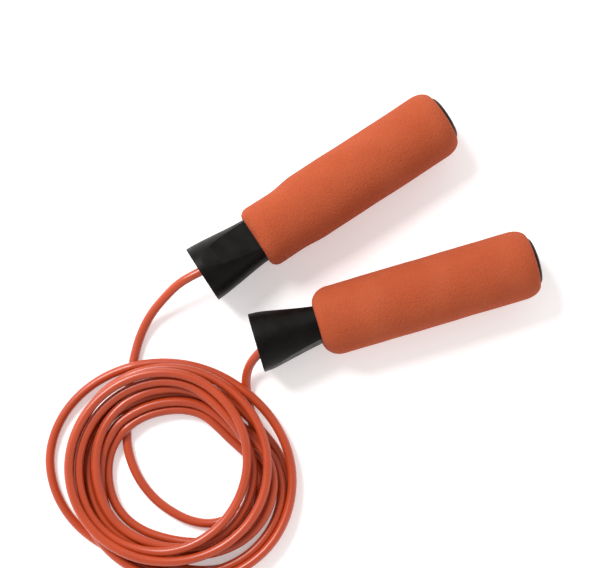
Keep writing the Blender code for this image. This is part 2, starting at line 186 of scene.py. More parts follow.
def new_material(name, roughness, metallic=0.0):
    """An empty node material, its tree and its shader."""
    made = bpy.data.materials.new(name)
    made.use_nodes = True
    shader = made.node_tree.nodes["Principled BSDF"]
    shader.inputs["Roughness"].default_value = roughness
    shader.inputs["Metallic"].default_value = metallic
    return made, made.node_tree, shader


def rgba(colour, share=1.0):
    """A colour, darkened or lightened by a share, with its alpha."""
    return (*(min(1.0, channel * share) for channel in colour), 1.0)


def noise_node(tree, coordinates, grain, detail=2.0, stretch=(1.0, 1.0, 1.0)):
    """Noise whose grain has a real size in metres, stretched by dividing its scale on an axis."""
    mapping = add_node(tree, "ShaderNodeMapping", inputs={
        "Vector": coordinates, "Scale": tuple(1.0 / (grain * share) for share in stretch)})
    return add_node(tree, "ShaderNodeTexNoise", inputs={
        "Vector": mapping.outputs["Vector"], "Scale": 1.0, "Detail": detail, "Roughness": 0.55})


def mix_colour(tree, factor, first, second):
    """Mix two colours by a factor socket."""
    mixed = add_node(tree, "ShaderNodeMix", {"data_type": "RGBA"}, {0: factor, 6: first, 7: second})
    return mixed.outputs[2]


def spread(tree, value, low, high, to_low, to_high):
    """Spread a value between two limits over a new range."""
    ranged = add_node(tree, "ShaderNodeMapRange", inputs={
        "Value": value, "From Min": low, "From Max": high, "To Min": to_low, "To Max": to_high})
    return ranged.outputs["Result"]


def add_bump(tree, shader, height, strength, distance):
    """Raise the surface by a height socket, up to a real distance in metres."""
    bump = add_node(tree, "ShaderNodeBump", inputs={
        "Height": height, "Strength": strength, "Distance": distance})
    tree.links.new(bump.outputs["Normal"], shader.inputs["Normal"])


def extruded_pvc(settings):
    """Plasticised PVC, extruded: an even colour and a soft gloss, with faint lines drawn by the die."""
    made, tree, shader = new_material("extruded_pvc", 0.3)
    colour = settings.cord.colour
    uv = add_node(tree, "ShaderNodeUVMap", {"uv_map": "UVMap"}).outputs["UV"]
    place = add_node(tree, "ShaderNodeTexCoord").outputs["Object"]
    # the die's lines are 0.5 mm apart round the cord and run on for 60 mm
    lines = noise_node(tree, uv, DIE_LINE, stretch=(DIE_LINE_RUN / DIE_LINE, 1.0, 1.0)).outputs["Fac"]
    cloud = noise_node(tree, place, PVC_CLOUD).outputs["Fac"]
    tone = mix_colour(tree, spread(tree, cloud, 0.35, 0.65, 0.0, 1.0), rgba(colour, 0.93), rgba(colour, 1.06))
    tree.links.new(tone, shader.inputs["Base Color"])
    tree.links.new(spread(tree, lines, 0.3, 0.7, 0.26, 0.36), shader.inputs["Roughness"])
    add_bump(tree, shader, lines, 0.25, 0.05 * MM)
    shader.inputs["IOR"].default_value = 1.53
    return made


def ground_foam(settings):
    """Closed-cell NBR foam, ground to size: a dry skin, pebbled by its cut cells, without gloss."""
    made, tree, shader = new_material("ground_nbr_foam", 0.9)
    colour = settings.grip.colour
    place = add_node(tree, "ShaderNodeTexCoord").outputs["Object"]
    # cut cells are about 0.4 mm wide and are drawn at more than twice that, so that they show
    mapping = add_node(tree, "ShaderNodeMapping", inputs={"Vector": place, "Scale": (1.0 / FOAM_CELL,) * 3})
    cells = add_node(tree, "ShaderNodeTexVoronoi", {"feature": "SMOOTH_F1"}, {
        "Vector": mapping.outputs["Vector"], "Scale": 1.0, "Smoothness": 0.35}).outputs["Distance"]
    pebbles = noise_node(tree, place, FOAM_PEBBLE, 3.0).outputs["Fac"]
    cloud = noise_node(tree, place, FOAM_CLOUD).outputs["Fac"]
    speckle = mix_colour(tree, spread(tree, cells, 0.1, 0.7, 0.0, 1.0),
                         rgba(colour, 1.05), rgba(colour, 0.93))
    worn = mix_colour(tree, spread(tree, cloud, 0.4, 0.7, 0.0, 0.1), speckle, rgba(linear(FOAM_DUST)))
    tree.links.new(worn, shader.inputs["Base Color"])
    tree.links.new(spread(tree, pebbles, 0.3, 0.7, 0.82, 0.96), shader.inputs["Roughness"])
    height = add_node(tree, "ShaderNodeMath", {"operation": "MULTIPLY_ADD"}, {
        0: cells, 1: -0.7, 2: pebbles}).outputs["Value"]
    add_bump(tree, shader, height, 0.95, 0.4 * MM)
    shader.inputs["IOR"].default_value = 1.45
    shader.inputs["Specular IOR Level"].default_value = 0.25
    return made


def moulded_abs(settings):
    """ABS, injection moulded in a finely spark-eroded tool: black with a low satin sheen."""
    made, tree, shader = new_material("moulded_abs", 0.38)
    colour = settings.nose.colour
    place = add_node(tree, "ShaderNodeTexCoord").outputs["Object"]
    # the tool's texture is about 0.1 mm and is drawn at three times that, so that it shows
    grain = noise_node(tree, place, ABS_GRAIN).outputs["Fac"]
    handling = noise_node(tree, place, ABS_HANDLING, 3.0).outputs["Fac"]
    tone = mix_colour(tree, spread(tree, handling, 0.35, 0.7, 0.0, 1.0),
                      rgba(colour, 0.8), rgba(colour, 1.35))
    tree.links.new(tone, shader.inputs["Base Color"])
    tree.links.new(spread(tree, handling, 0.3, 0.7, 0.33, 0.48), shader.inputs["Roughness"])
    add_bump(tree, shader, grain, 0.25, 0.08 * MM)
    shader.inputs["IOR"].default_value = 1.53
    shader.inputs["Specular IOR Level"].default_value = 0.1
    return made


def plain_plastic(name, code, roughness, grain):
    """A moulded engineering plastic: an even colour with a faint cloud, and a fine moulded skin."""
    made, tree, shader = new_material(name, roughness)
    place = add_node(tree, "ShaderNodeTexCoord").outputs["Object"]
    cloud = noise_node(tree, place, grain * CLOUD_GRAINS).outputs["Fac"]
    skin = noise_node(tree, place, grain).outputs["Fac"]
    colour = linear(code)
    tone = mix_colour(tree, cloud, rgba(colour, 0.92), rgba(colour, 1.06))
    gloss = spread(tree, skin, 0.3, 0.7, roughness - 0.05, roughness + 0.07)
    tree.links.new(tone, shader.inputs["Base Color"])
    tree.links.new(gloss, shader.inputs["Roughness"])
    add_bump(tree, shader, skin, 0.2, 0.03 * MM)
    return made


def worked_metal(name, code, roughness, mark):
    """A worked metal: its colour shifts a little and its gloss follows the marks that the work left."""
    made, tree, shader = new_material(name, roughness, metallic=1.0)
    place = add_node(tree, "ShaderNodeTexCoord").outputs["Object"]
    marks = noise_node(tree, place, mark, 3.0).outputs["Fac"]
    colour = linear(code)
    tone = mix_colour(tree, marks, rgba(colour, 0.88), rgba(colour, 1.05))
    gloss = spread(tree, marks, 0.3, 0.7, roughness * 0.7, roughness * 1.4)
    tree.links.new(tone, shader.inputs["Base Color"])
    tree.links.new(gloss, shader.inputs["Roughness"])
    add_bump(tree, shader, marks, 0.15, 0.02 * MM)
    return made


# ---------------------------------------------------------------------------------------------------
# Cord
# ---------------------------------------------------------------------------------------------------
# The cord's points are in millimetres, in a layout where handle A's mouth is at this place
LAYOUT_MOUTH = Vector((-87.4, -23.2, 0.0))

# Where the cord leaves each handle's mouth, and its way down to the floor
MOUTH_POINTS = {"a": (-89.3, -21.9, 18.6), "b": (-54.8, -63.6, 17.2)}
LEAD_A = [(-98.7, -26.8, 16.4), (-108.8, -35.7, 11.2), (-116.8, -45.2, 6.2), (-122.4, -56.5, 3.2),
          (-125.8, -69.1, 2.5), (-128.0, -82.5, 2.5), (-129.3, -98.8, 2.5), (-128.8, -116.4, 2.5),
          (-124.1, -130.3, 2.5), (-114.0, -144.0, 2.5), (-104.0, -151.5, 2.5), (-94.0, -156.2, 2.5),
          (-83.6, -157.8, 2.5)]
LEAD_B = [(-58.1, -128.8, 2.5), (-60.0, -107.0, 2.5), (-62.5, -92.0, 2.8), (-64.2, -80.2, 4.9),
          (-62.3, -72.4, 9.4), (-58.0, -66.6, 14.3)]

# Each turn's rightmost X, topmost Y, leftmost X, lowest Y, how high it lies, its lean in degrees, and
# how far its upper right and lower left slip towards the lower left
TURNS = [
    (-56.0, -95.9, -139.5, -167.5, 1.0, 4.0, 3.0),
    (-50.0, -91.5, -142.5, -183.0, 2.0, 6.0, 2.8),
    (-42.0, -80.5, -153.5, -184.5, 1.6, 5.0, 1.5),
    (-44.5, -87.5, -149.5, -174.5, 3.0, 6.0, 2.8),
    (-49.0, -84.5, -145.0, -170.5, 4.0, 5.0, 2.8),
    (-59.5, -80.5, -154.0, -172.0, 6.0, -1.5, 1.0),
    (-62.8, -75.8, -158.8, -177.0, 6.5, -1.5, 0.0),
    (-52.0, -73.2, -157.4, -188.5, 5.0, 5.0, 0.0),
    (-38.8, -70.4, -171.1, -176.5, 0.8, 3.0, 0.5),
]
LAST_RIGHT = -58.0
FIRST_BOTTOM = -159.0
LEAD_RANKS = {"a": 0.0, "b": 0.3}
TURN_STEPS = 24
COIL_START = -45.0           # degrees from the first turn's right side
COIL_STOP = 20.0             # degrees before the last turn's end
RANK_ANGLE = 160             # where on a turn its height counts
CORNER_BIAS = 0.45           # the upper right slips by this much more, and the lower left by less
PATH_STEP = 2.0
FLOOR_MARGIN = 0.1           # a point this near the floor is free to settle
SELF_SKIP = 12               # points this near along the cord never touch each other
STACK_STEP = 4.0
SINK_STEP = 0.03
HOME_PULL = 0.85
STIFFNESS_PASSES = 20
CONTACT_SHARE = 1.3
CONTACT_PASSES = 8
SETTLE_PASSES = 400
EASE_PASSES = 3
CORD_SIDES = 16
FLOOR_HEIGHT = 2.5           # of a strand's middle that lies on the floor
CORD_SHARP = math.radians(60.0)


def curve_through(places, values, wanted):
    """Read a smooth curve through values at growing places."""
    places, values, wanted = (np.array(a, float) for a in (places, values, wanted))
    slopes = np.gradient(values, places, axis=0)
    index = np.clip(np.searchsorted(places, wanted) - 1, 0, len(places) - 2)
    span = places[index + 1] - places[index]
    t = np.clip((wanted - places[index]) / span, 0, 1)
    if values.ndim > 1:
        span, t = span[:, None], t[:, None]
    start, end = values[index], values[index + 1]
    return (start * (2 * t**3 - 3 * t**2 + 1) + end * (3 * t**2 - 2 * t**3)
            + span * slopes[index] * (t**3 - 2 * t**2 + t) + span * slopes[index + 1] * (t**3 - t**2))


def layout_shift():
    """How far the layout lies from the frame, in millimetres on the floor."""
    shift = handle_matrix("a").translation / MM - LAYOUT_MOUTH
    shift.z = 0.0
    return shift


def coil_points():
    """The coil's turns seen from above, and how high each point lies among them."""
    count = len(TURNS)
    angles = np.arange(COIL_START, 360 * count - COIL_STOP, 360 / TURN_STEPS)
    places = 360 * np.arange(count)
    columns = list(zip(*TURNS))
    right = curve_through([*places, 360 * count], [*columns[0], LAST_RIGHT], angles)
    top = curve_through(places + 90, columns[1], angles)
    left = curve_through(places + 180, columns[2], angles)
    bottom = curve_through([-90, *(places + 270)], [FIRST_BOTTOM, *columns[3]], angles)
    rank = curve_through([-90, *(places + RANK_ANGLE), 360 * count],
                         [LEAD_RANKS["a"], *columns[4], LEAD_RANKS["b"]], angles)
    lean = curve_through(places + 180, columns[5], angles)
    slip = curve_through(places + 180, columns[6], angles)
    turn = np.radians(angles)
    corner = slip * np.maximum(0.0, np.sin(2 * turn)) ** 2 * (1 + CORNER_BIAS * np.cos(turn - math.pi / 4))
    x = (left + right) / 2 + (right - left) / 2 * np.cos(turn) - corner
    y = (bottom + top) / 2 + (top - bottom) / 2 * np.sin(turn - np.radians(lean)) - corner
    return x, y, rank


def route_points():
    """The whole cord in millimetres, from inside handle A to inside handle B, with each point's rank."""
    rows = []
    ends = {}
    shift = layout_shift()
    for side in SIDES:
        matrix = handle_matrix(side)
        ends[side] = [tuple(matrix @ Vector((s, 0, 0)) / MM - shift) for s in CORD_STRAIGHT]
    for point in ends["a"] + [MOUTH_POINTS["a"]] + LEAD_A:
        rows.append((*point, LEAD_RANKS["a"]))
    x, y, rank = coil_points()
    rows += [(px, py, FLOOR_HEIGHT, r) for px, py, r in zip(x, y, rank)]
    for point in LEAD_B + [MOUTH_POINTS["b"]] + ends["b"][::-1]:
        rows.append((*point, LEAD_RANKS["b"]))
    rows = np.array(rows)
    steps = np.linalg.norm(np.diff(rows[:, :3], axis=0), axis=1)
    along = np.concatenate([[0], np.cumsum(steps)])
    wanted = np.linspace(0, along[-1], int(along[-1] / PATH_STEP))
    points = curve_through(along, rows, wanted)
    points[:, :2] += shift.xy
    return points


def settle(points, diameter):
    """Let the cord sink onto the floor and onto itself, each strand kept a diameter from the others.

    The strands start stacked by rank, drop a little on each pass, and are pushed apart where they
    meet. What moves a point is spread along the cord, which is how stiff PVC shares a push.
    """
    target, rank = points[:, :3], points[:, 3]
    free = (target[:, 2] < diameter / 2 + FLOOR_MARGIN)[:, None]
    count = len(target)
    apart = np.linalg.norm(target[:, None, :2] - target[None, :, :2], axis=2)
    first, second = np.nonzero(np.triu(apart < 2 * diameter, k=SELF_SKIP))
    moved = np.zeros_like(target)
    moved[:, 2] = rank * STACK_STEP * free[:, 0]
    for _ in range(SETTLE_PASSES):
        moved[:, 2] -= SINK_STEP
        moved[:, :2] *= HOME_PULL
        for _ in range(STIFFNESS_PASSES):
            moved[1:-1] = (moved[:-2] + 2 * moved[1:-1] + moved[2:]) / 4
        for _ in range(CONTACT_PASSES):
            moved *= free
            place = target + moved
            between = place[first] - place[second]
            distance = np.linalg.norm(between, axis=1)
            touching = np.nonzero(distance < diameter)[0]
            push = between[touching] * ((diameter - distance[touching]) / 2 / distance[touching])[:, None]
            ends = np.concatenate([first[touching], second[touching]])
            shares = np.maximum(np.bincount(ends, minlength=count), 1)
            for axis in range(3):
                both = np.concatenate([push[:, axis], -push[:, axis]])
                moved[:, axis] += CONTACT_SHARE * np.bincount(ends, both, count) / shares
            moved[:, 2] = np.maximum(moved[:, 2], diameter / 2 - target[:, 2])
        moved *= free
    place = target + moved
    for _ in range(EASE_PASSES):
        place[1:-1] = (place[:-2] + 2 * place[1:-1] + place[2:]) / 4
    return place


def tube_mesh(name, centres, radius, sides):
    """A round tube along the centres, with its length and girth in its UV map, in metres."""
    centres = np.array(centres)
    ahead = np.gradient(centres, axis=0)
    ahead /= np.linalg.norm(ahead, axis=1)[:, None]
    side = np.cross(ahead[0], (0, 0, 1.0))
    rings = []
    for centre, direction in zip(centres, ahead):
        side = side - direction * side.dot(direction)
        side /= np.linalg.norm(side)
        up = np.cross(side, direction)
        turns = np.arange(sides) * math.tau / sides
        rings.append(centre + radius * (np.outer(np.cos(turns), side) + np.outer(np.sin(turns), up)))
    verts = np.concatenate(rings)
    faces = []
    for row in range(len(centres) - 1):
        for column in range(sides):
            after = (column + 1) % sides
            faces.append((row * sides + column, (row + 1) * sides + column,
                          (row + 1) * sides + after, row * sides + after))
    last = (len(centres) - 1) * sides
    faces.append(tuple(range(sides)))
    faces.append(tuple(last + column for column in reversed(range(sides))))
    mesh = bpy.data.meshes.new(name)
    mesh.from_pydata(verts.tolist(), [], faces)
    mesh.shade_smooth()
    mesh.set_sharp_from_angle(angle=CORD_SHARP)
    layer = mesh.uv_layers.new(name="UVMap")
    travel = np.concatenate([[0], np.cumsum(np.linalg.norm(np.diff(centres, axis=0), axis=1))])
    girth = math.tau * radius
    for polygon in mesh.polygons:
        if len(polygon.vertices) != 4:
            continue
        columns = [vertex % sides for vertex in polygon.vertices]
        seam = max(columns) - min(columns) > 1
        for loop, vertex in zip(polygon.loop_indices, polygon.vertices):
            column = vertex % sides
            if seam and column == 0:
                column = sides
            layer.data[loop].uv = (travel[vertex // sides], girth * column / sides)
    return mesh, float(travel[-1])


class SKIPPINGROPE_OT_cord(bpy.types.Operator):
    """Lay the cord from one handle, round its coil and into the other handle"""
    bl_idname = "skipping_rope.cord"
    bl_label = "Cord"

    def execute(self, context):
        settings = context.scene.skipping_rope
        diameter = settings.cord.diameter
        points = route_points()
        centres = settle(points, diameter / MM) * MM
        mesh, length = tube_mesh("cord", centres, diameter / 2, CORD_SIDES)
        cord = bpy.data.objects.new("cord", mesh)
        context.scene.collection.objects.link(cord)
        mesh.materials.append(extruded_pvc(settings))
        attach(cord, "rope")
        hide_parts("cord_lead_a", "cord_lead_b", "cord_coil", "cord_crossing")
        return {"FINISHED"}


# ---------------------------------------------------------------------------------------------------
# Grips
# ---------------------------------------------------------------------------------------------------
FOAM_RADIUS = (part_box("foam_grip_a")[1].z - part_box("foam_grip_a")[0].z) / 2
FOAM_BORE_RADIUS = CORE_RADIUS + GAP
FOAM_LIP = 0.6 * MM
FLAT_NECK = 9.1 * MM
LEAST_PINCH = 0.5
PINCH_START = 19.0 * MM
PINCH_END = 34.5 * MM
NOSE_ROUNDING = 4.3 * MM
NOSE_ROUNDING_FLAT = 10.0 * MM
FOAM_COLUMNS = 128
ROUNDING_STEPS = 10
INSIDE_RINGS = 4             # the sleeve's last rings, which line its bore
FOAM_SHARP = math.radians(50.0)
FOAM_STEP = 1.5 * MM
LUMP_SIZE = 17.0 * MM
LUMP_HEIGHT = 0.22 * MM


def around(columns):
    """Directions (y, z) evenly round a handle's axis."""
    return [(math.cos(math.tau * n / columns), math.sin(math.tau * n / columns)) for n in range(columns)]


def flatted(radius, flat):
    """A circle's points, cut at flat on the sides that face up and down."""
    return [(radius * y, max(-flat, min(flat, radius * z))) for y, z in around(FOAM_COLUMNS)]


def uneven(y):
    """The share of the pinch on one side: the foam is pressed in more on one side of the nose."""
    return (1 + LEAST_PINCH) / 2 + (1 - LEAST_PINCH) / 2 * y


def foam_rings(settings):
    """Rings of the sleeve: out over its nose end, along its length, in over its cap end and back inside."""
    mouth = flatted(FOAM_BORE_RADIUS + FOAM_LIP, FLAT_NECK + GAP + FOAM_LIP)
    pinch = settings.grip.pinch
    rings = []
    for step in range(ROUNDING_STEPS + 1):
        turn = math.radians(90 * step / ROUNDING_STEPS)
        ring = []
        for (y, z), (y_start, z_start) in zip(around(FOAM_COLUMNS), mouth):
            rounding = NOSE_ROUNDING + (NOSE_ROUNDING_FLAT - NOSE_ROUNDING) * z * z
            y_full, z_full = y * (FOAM_RADIUS - pinch * uneven(y)), z * FOAM_RADIUS
            ring.append((NOSE_LENGTH + rounding * (1 - math.cos(turn)),
                         y_start + (y_full - y_start) * math.sin(turn),
                         z_start + (z_full - z_start) * math.sin(turn)))
        rings.append(ring)
    straight_start = NOSE_LENGTH + NOSE_ROUNDING_FLAT
    straight_end = FOAM_END - settings.grip.end_rounding
    count = round((straight_end - straight_start) / FOAM_STEP)
    for step in range(1, count + 1):
        s = straight_start + step * (straight_end - straight_start) / count
        share = min(1.0, max(0.0, (s - NOSE_LENGTH - PINCH_START) / (PINCH_END - PINCH_START)))
        narrow = pinch * (0.5 + 0.5 * math.cos(math.pi * share))
        rings.append([(s, y * (FOAM_RADIUS - narrow * uneven(y)), z * FOAM_RADIUS)
                      for y, z in around(FOAM_COLUMNS)])
    end_radius = FOAM_BORE_RADIUS + FOAM_LIP
    for step in range(1, ROUNDING_STEPS + 1):
        turn = math.radians(90 * step / ROUNDING_STEPS)
        s = straight_end + settings.grip.end_rounding * math.sin(turn)
        radius = end_radius + (FOAM_RADIUS - end_radius) * math.cos(turn)
        rings.append([(s, y * radius, z * radius) for y, z in around(FOAM_COLUMNS)])
    for s in (FOAM_END, FLAT_END - GAP):
        rings.append([(s, y * FOAM_BORE_RADIUS, z * FOAM_BORE_RADIUS) for y, z in around(FOAM_COLUMNS)])
    for s in (FLAT_END - GAP, NOSE_LENGTH):
        rings.append([(s, y, z) for y, z in flatted(FOAM_BORE_RADIUS, FLAT_NECK + GAP)])
    return rings


def sleeve_mesh(name, rings, matrix):
    """Skin a closed sleeve over its rings, soften it with low lumps, and put it in its place."""
    columns = len(rings[0])
    verts = [Vector(point) for ring in rings for point in ring]
    faces = []
    for row in range(len(rings)):
        after_row = (row + 1) % len(rings)
        for column in range(columns):
            after = (column + 1) % columns
            faces.append((row * columns + column, row * columns + after,
                          after_row * columns + after, after_row * columns + column))
    for index in range(columns * (len(rings) - INSIDE_RINGS)):
        point = verts[index]
        out = Vector((0, point.y, point.z)).normalized()
        lump = noise.noise(matrix @ point / LUMP_SIZE) - 1.0
        verts[index] = point + out * (LUMP_HEIGHT * lump)
    mesh = bpy.data.meshes.new(name)
    mesh.from_pydata([matrix @ point for point in verts], [], faces)
    mesh.shade_smooth()
    mesh.set_sharp_from_angle(angle=FOAM_SHARP)
    return mesh


class SKIPPINGROPE_OT_grips(bpy.types.Operator):
    """Make the two foam sleeves"""
    bl_idname = "skipping_rope.grips"
    bl_label = "Foam Grips"

    def execute(self, context):
        settings = context.scene.skipping_rope
        foam = ground_foam(settings)
        for side in SIDES:
            mesh = sleeve_mesh(f"grip_{side}", foam_rings(settings), handle_matrix(side))
            grip = bpy.data.objects.new(f"grip_{side}", mesh)
            context.scene.collection.objects.link(grip)
            mesh.materials.append(foam)
            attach(grip, f"handle_{side}")
            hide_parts(f"foam_grip_{side}")
        return {"FINISHED"}


# ---------------------------------------------------------------------------------------------------
# Noses and caps
# ---------------------------------------------------------------------------------------------------
LATHE_SIDES = 96
MOUTH_LIP = 1.9 * MM
MOUTH_EDGE = 0.5 * MM
BELL_DEPTH = 22.0 * MM
FLAT_START = 5.0 * MM
FLAT_HEIGHT = 15.6 * MM      # half the height between the flats where they start
CUTTER_SIDES = 900
CUTTER_WIDTH = 60.0 * MM
EDGE_WIDTH = 0.35 * MM
NOSE_STEPS = 24
NOSE_STRAIGHT_SHARE = 0.45   # of the taper; the rest eases in and out
BELL_STEPS = 12
BELL_DEPTH_SHARE = 0.6       # 1 would make the bell's depth a plain quarter round
BELL_WIDTH_SHARE = 0.75      # 1 would make the bell's width a plain quarter round
NOSE_SHARP = 24.0            # degrees between faces, past which an edge is rounded


def start_edit(obj):
    """Make an object the only selected one and edit it, with nothing in it selected."""
    bpy.ops.object.select_all(action="DESELECT")
    obj.select_set(True)
    bpy.context.view_layer.objects.active = obj
    bpy.ops.object.mode_set(mode="EDIT")
    bpy.ops.mesh.select_all(action="DESELECT")


def end_edit():
    """Leave edit mode."""
    bpy.ops.object.mode_set(mode="OBJECT")


def lathe(name, profile, closed):
    """Turn a profile of (place, radius) about X: a ring is drawn, then extruded and resized on."""
    bpy.ops.object.select_all(action="DESELECT")
    place, radius = profile[0]
    bpy.ops.mesh.primitive_circle_add(vertices=LATHE_SIDES, radius=radius, fill_type="NOTHING",
                                      location=(place, 0, 0), rotation=(0, math.pi / 2, 0))
    made = bpy.context.object
    made.name = name
    bpy.ops.object.transform_apply(location=True, rotation=True, scale=True)
    start_edit(made)
    bpy.ops.mesh.select_all(action="SELECT")
    for (last_place, last_radius), (place, radius) in zip(profile, profile[1:]):
        bpy.ops.mesh.extrude_region_move(TRANSFORM_OT_translate={"value": (place - last_place, 0, 0)})
        grown = radius / last_radius
        bpy.ops.transform.resize(value=(1, grown, grown), center_override=(place, 0, 0))
    bpy.ops.mesh.select_all(action="DESELECT")
    bpy.ops.mesh.select_non_manifold()
    if closed:
        bpy.ops.mesh.bridge_edge_loops()
    else:
        bpy.ops.mesh.fill_holes(sides=0)
    bpy.ops.mesh.select_all(action="SELECT")
    bpy.ops.mesh.normals_make_consistent(inside=False)
    end_edit()
    return made


def cut_flat(obj, radius, side):
    """Hollow one flat out of the nose with a wide drum, whose axis lies across the handle."""
    length = NOSE_LENGTH - FLAT_START
    low_place = (FLAT_START + NOSE_LENGTH) / 2 + (FLAT_HEIGHT - FLAT_NECK) * radius / length
    low = FLAT_NECK - (low_place - NOSE_LENGTH) ** 2 / (2 * radius)
    bpy.ops.object.select_all(action="DESELECT")
    bpy.ops.mesh.primitive_cylinder_add(
        vertices=CUTTER_SIDES, radius=radius, depth=CUTTER_WIDTH, rotation=(math.pi / 2, 0, 0),
        location=(low_place, 0, side * (low + radius)))
    drum = bpy.context.object
    bpy.ops.object.transform_apply(location=True, rotation=True, scale=True)
    start_edit(drum)
    bpy.ops.mesh.select_all(action="SELECT")
    bpy.ops.mesh.bisect(plane_co=(FLAT_END, 0, 0), plane_no=(1, 0, 0), use_fill=True, clear_outer=True)
    end_edit()
    bpy.ops.object.select_all(action="DESELECT")
    obj.select_set(True)
    bpy.context.view_layer.objects.active = obj
    cut = obj.modifiers.new("flat", "BOOLEAN")
    cut.object = drum
    cut.operation = "DIFFERENCE"
    bpy.ops.object.modifier_apply(modifier=cut.name)
    bpy.data.objects.remove(drum)


def soften_edges(obj, width, angle):
    """Round a piece's sharp edges and shade it smooth."""
    bpy.ops.object.select_all(action="DESELECT")
    obj.select_set(True)
    bpy.context.view_layer.objects.active = obj
    bevel = obj.modifiers.new("edges", "BEVEL")
    bevel.width = width
    bevel.segments = 3
    bevel.limit_method = "ANGLE"
    bevel.angle_limit = math.radians(angle)
    bpy.ops.object.modifier_apply(modifier=bevel.name)
    bpy.ops.object.shade_smooth_by_angle(angle=math.radians(angle))


def put_in_place(obj, side, material, body, node):
    """Move a finished piece onto its handle, ride it on its body and let it stand for its CAD node."""
    obj.matrix_world = handle_matrix(side)
    bpy.ops.object.select_all(action="DESELECT")
    obj.select_set(True)
    bpy.context.view_layer.objects.active = obj
    bpy.ops.object.transform_apply(location=True, rotation=True, scale=True)
    obj.data.materials.clear()
    obj.data.materials.append(material)
    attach(obj, body)
    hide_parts(node)


def nose_profile(mouth_radius):
    """The core's section from the mouth's edge along its outside, and back through bore, throat and bell."""
    profile = [(0.0, mouth_radius - MOUTH_EDGE), (MOUTH_EDGE * 0.3, mouth_radius - MOUTH_EDGE * 0.3),
               (MOUTH_EDGE, mouth_radius)]
    for step in range(1, NOSE_STEPS + 1):
        share = step / NOSE_STEPS
        ease = share * share * (3 - 2 * share)
        fall = NOSE_STRAIGHT_SHARE * share + (1 - NOSE_STRAIGHT_SHARE) * ease
        radius = mouth_radius - (mouth_radius - CORE_RADIUS) * fall
        profile.append((MOUTH_EDGE + (NOSE_LENGTH - MOUTH_EDGE) * share, radius))
    profile += [(CORE_END, CORE_RADIUS), (CORE_END, CORE_BORE_RADIUS), (SEAT_PLACE, CORE_BORE_RADIUS),
                (SEAT_PLACE, THROAT_RADIUS)]
    inner_mouth = mouth_radius - MOUTH_LIP
    for step in range(BELL_STEPS + 1):
        turn = math.radians(90 * step / BELL_STEPS)
        rise = math.sin(turn)
        out = rise * (BELL_DEPTH_SHARE + (1 - BELL_DEPTH_SHARE) * rise)
        wide = (1 - math.cos(turn)) * (BELL_WIDTH_SHARE + (1 - BELL_WIDTH_SHARE) * rise)
        profile.append((BELL_DEPTH - (BELL_DEPTH - MOUTH_EDGE) * out,
                        THROAT_RADIUS + (inner_mouth - THROAT_RADIUS) * wide))
    profile.append((0.0, inner_mouth + MOUTH_EDGE))
    return profile


class SKIPPINGROPE_OT_noses(bpy.types.Operator):
    """Make the two moulded noses with the tubes that carry the foam"""
    bl_idname = "skipping_rope.noses"
    bl_label = "Noses"

    def execute(self, context):
        settings = context.scene.skipping_rope
        plastic = moulded_abs(settings)
        for side in SIDES:
            nose = lathe(f"nose_{side}", nose_profile(settings.nose.mouth_radius), closed=True)
            for face in (1, -1):
                cut_flat(nose, settings.nose.flat_radius, face)
            soften_edges(nose, EDGE_WIDTH, NOSE_SHARP)
            put_in_place(nose, side, plastic, f"handle_{side}", f"handle_core_{side}")
        return {"FINISHED"}


CAP_RIM = 0.6 * MM
CAP_DOME = 2.3 * MM
CAP_FLAT_RADIUS = 9.0 * MM
CAP_STEM_LENGTH = 14.0 * MM
CAP_WALL = 1.5 * MM
CAP_PIN = 0.4 * MM           # radius of the small disc that closes the cap's middle
CAP_EDGE = 0.2 * MM
CAP_SHARP = 30.0
DOME_STEPS = 12


def cap_profile():
    """The cap's section: stem, seat, low dome and flat middle."""
    stem = CORE_BORE_RADIUS - GAP
    profile = [(CAP_PLACE - CAP_WALL, CAP_PIN), (CAP_PLACE - CAP_WALL, stem - CAP_WALL),
               (CAP_PLACE - CAP_STEM_LENGTH, stem - CAP_WALL), (CAP_PLACE - CAP_STEM_LENGTH, stem),
               (CAP_PLACE, stem), (CAP_PLACE, CORE_RADIUS)]
    for step in range(DOME_STEPS + 1):
        turn = math.radians(90 * step / DOME_STEPS)
        profile.append((CAP_PLACE + CAP_RIM + CAP_DOME * math.sin(turn),
                        CAP_FLAT_RADIUS + (CORE_RADIUS - CAP_FLAT_RADIUS) * math.cos(turn)))
    profile.append((CAP_PLACE + CAP_RIM + CAP_DOME, CAP_PIN))
    return profile


class SKIPPINGROPE_OT_caps(bpy.types.Operator):
    """Make the two end caps"""
    bl_idname = "skipping_rope.caps"
    bl_label = "End Caps"

    def execute(self, context):
        plastic = bpy.data.materials["moulded_abs"]
        for side in SIDES:
            cap = lathe(f"cap_{side}", cap_profile(), closed=False)
            soften_edges(cap, CAP_EDGE, CAP_SHARP)
            put_in_place(cap, side, plastic, f"cap_{side}", f"end_cap_{side}")
        return {"FINISHED"}


